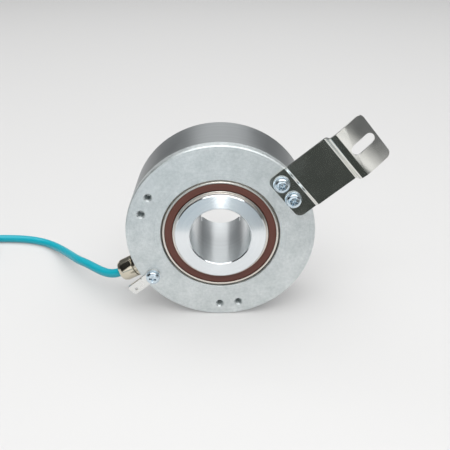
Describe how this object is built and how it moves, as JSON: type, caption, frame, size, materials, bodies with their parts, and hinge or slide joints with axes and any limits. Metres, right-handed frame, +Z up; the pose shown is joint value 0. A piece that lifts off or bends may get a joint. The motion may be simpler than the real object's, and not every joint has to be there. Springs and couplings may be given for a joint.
{
  "type": "rotary encoder",
  "caption": "Through-bore rotary encoder in a round housing with a bent torque arm, an earth blade, and a cable gland with its cord and plug.",
  "frame": {"origin": "on the shaft axis at the housing's front face", "axes": "+Y along the shaft axis from the front face to the rear, +Z up, +X to the right seen from the front"},
  "size_m": [0.3018, 0.0997, 0.1163],
  "materials": {
    "housing_aluminium": "fine turned, satin",
    "machined_steel": "turned and polished",
    "bearing_steel": "ground",
    "ball_steel": "polished",
    "spring_steel": "rolled strip",
    "seal_brown": "moulded",
    "rubber_black": "moulded",
    "zinc_steel": "bright zinc plated",
    "arm_stainless": "bright rolled stainless sheet",
    "nickel_brass": "nickel plated",
    "tinned_brass": "tinned, satin",
    "board_green": "solder mask",
    "disc_glass": "chromed tracks on glass",
    "chip_black": "moulded",
    "pillar_brass": "turned",
    "black_steel": "black oxide",
    "cable_teal": "extruded jacket",
    "plug_black": "moulded"
  },
  "bodies": {
    "housing": {"arm_screw_1": "zinc_steel", "arm_screw_2": "zinc_steel", "arm_washer_1": "zinc_steel", "arm_washer_2": "zinc_steel", "board_connector": "chip_black", "board_pillar_1": "pillar_brass", "board_pillar_2": "pillar_brass", "board_pillar_3": "pillar_brass", "board_screw_1": "zinc_steel", "board_screw_2": "zinc_steel", "board_screw_3": "zinc_steel", "cable": "cable_teal", "cable_coil": "cable_teal", "cable_inside_gland": "cable_teal", "cable_tail": "cable_teal", "circuit_board": "board_green", "coil_tie": "plug_black", "cover_screw_1": "zinc_steel", "cover_screw_2": "zinc_steel", "cover_screw_3": "zinc_steel", "earth_screw": "zinc_steel", "earth_terminal": "tinned_brass", "earth_washer": "zinc_steel", "front_bearing_outer_ring": "bearing_steel", "front_bearing_seal": "seal_brown", "front_flange": "housing_aluminium", "gland_body": "nickel_brass", "gland_nut": "nickel_brass", "gland_o_ring": "rubber_black", "gland_seal": "rubber_black", "housing_o_ring": "rubber_black", "housing_shell": "housing_aluminium", "light_source": "chip_black", "plug_body": "plug_black", "plug_coupling_nut": "nickel_brass", "plug_pins": "pillar_brass", "rear_bearing_outer_ring": "bearing_steel", "rear_bearing_seal": "seal_brown", "rear_shaft_seal": "seal_brown", "retaining_ring": "spring_steel", "sensor_chip": "chip_black", "signal_cores": "cable_teal", "torque_arm": "arm_stainless", "wave_spring": "spring_steel"},
    "shaft": {"hollow_shaft": "machined_steel", "shaft_snap_ring": "spring_steel", "front_bearing_inner_ring": "bearing_steel", "rear_bearing_inner_ring": "bearing_steel", "bearing_spacer": "machined_steel", "disc_hub": "machined_steel", "disc_hub_screw": "black_steel", "code_disc": "disc_glass", "clamp_ring": "machined_steel", "clamp_screw": "black_steel"},
    "front_cage": {"front_bearing_cage": "ball_steel"},
    "rear_cage": {"rear_bearing_cage": "ball_steel"}
  },
  "joints": [
    {"name": "shaft_spin", "type": "hinge", "parent": "housing", "child": "shaft", "pos_m": [0, 0, 0], "axis": [0, 1, 0], "continuous": true},
    {"name": "front_cage_orbit", "type": "hinge", "parent": "housing", "child": "front_cage", "pos_m": [0, 0.0046, 0], "axis": [0, 1, 0], "continuous": true},
    {"name": "rear_cage_orbit", "type": "hinge", "parent": "housing", "child": "rear_cage", "pos_m": [0, 0.0149, 0], "axis": [0, 1, 0], "continuous": true}
  ],
  "couplings": [
    {"joint": "front_cage_orbit", "follows": "shaft_spin", "ratio": 0.4609},
    {"joint": "rear_cage_orbit", "follows": "shaft_spin", "ratio": 0.4609}
  ]
}
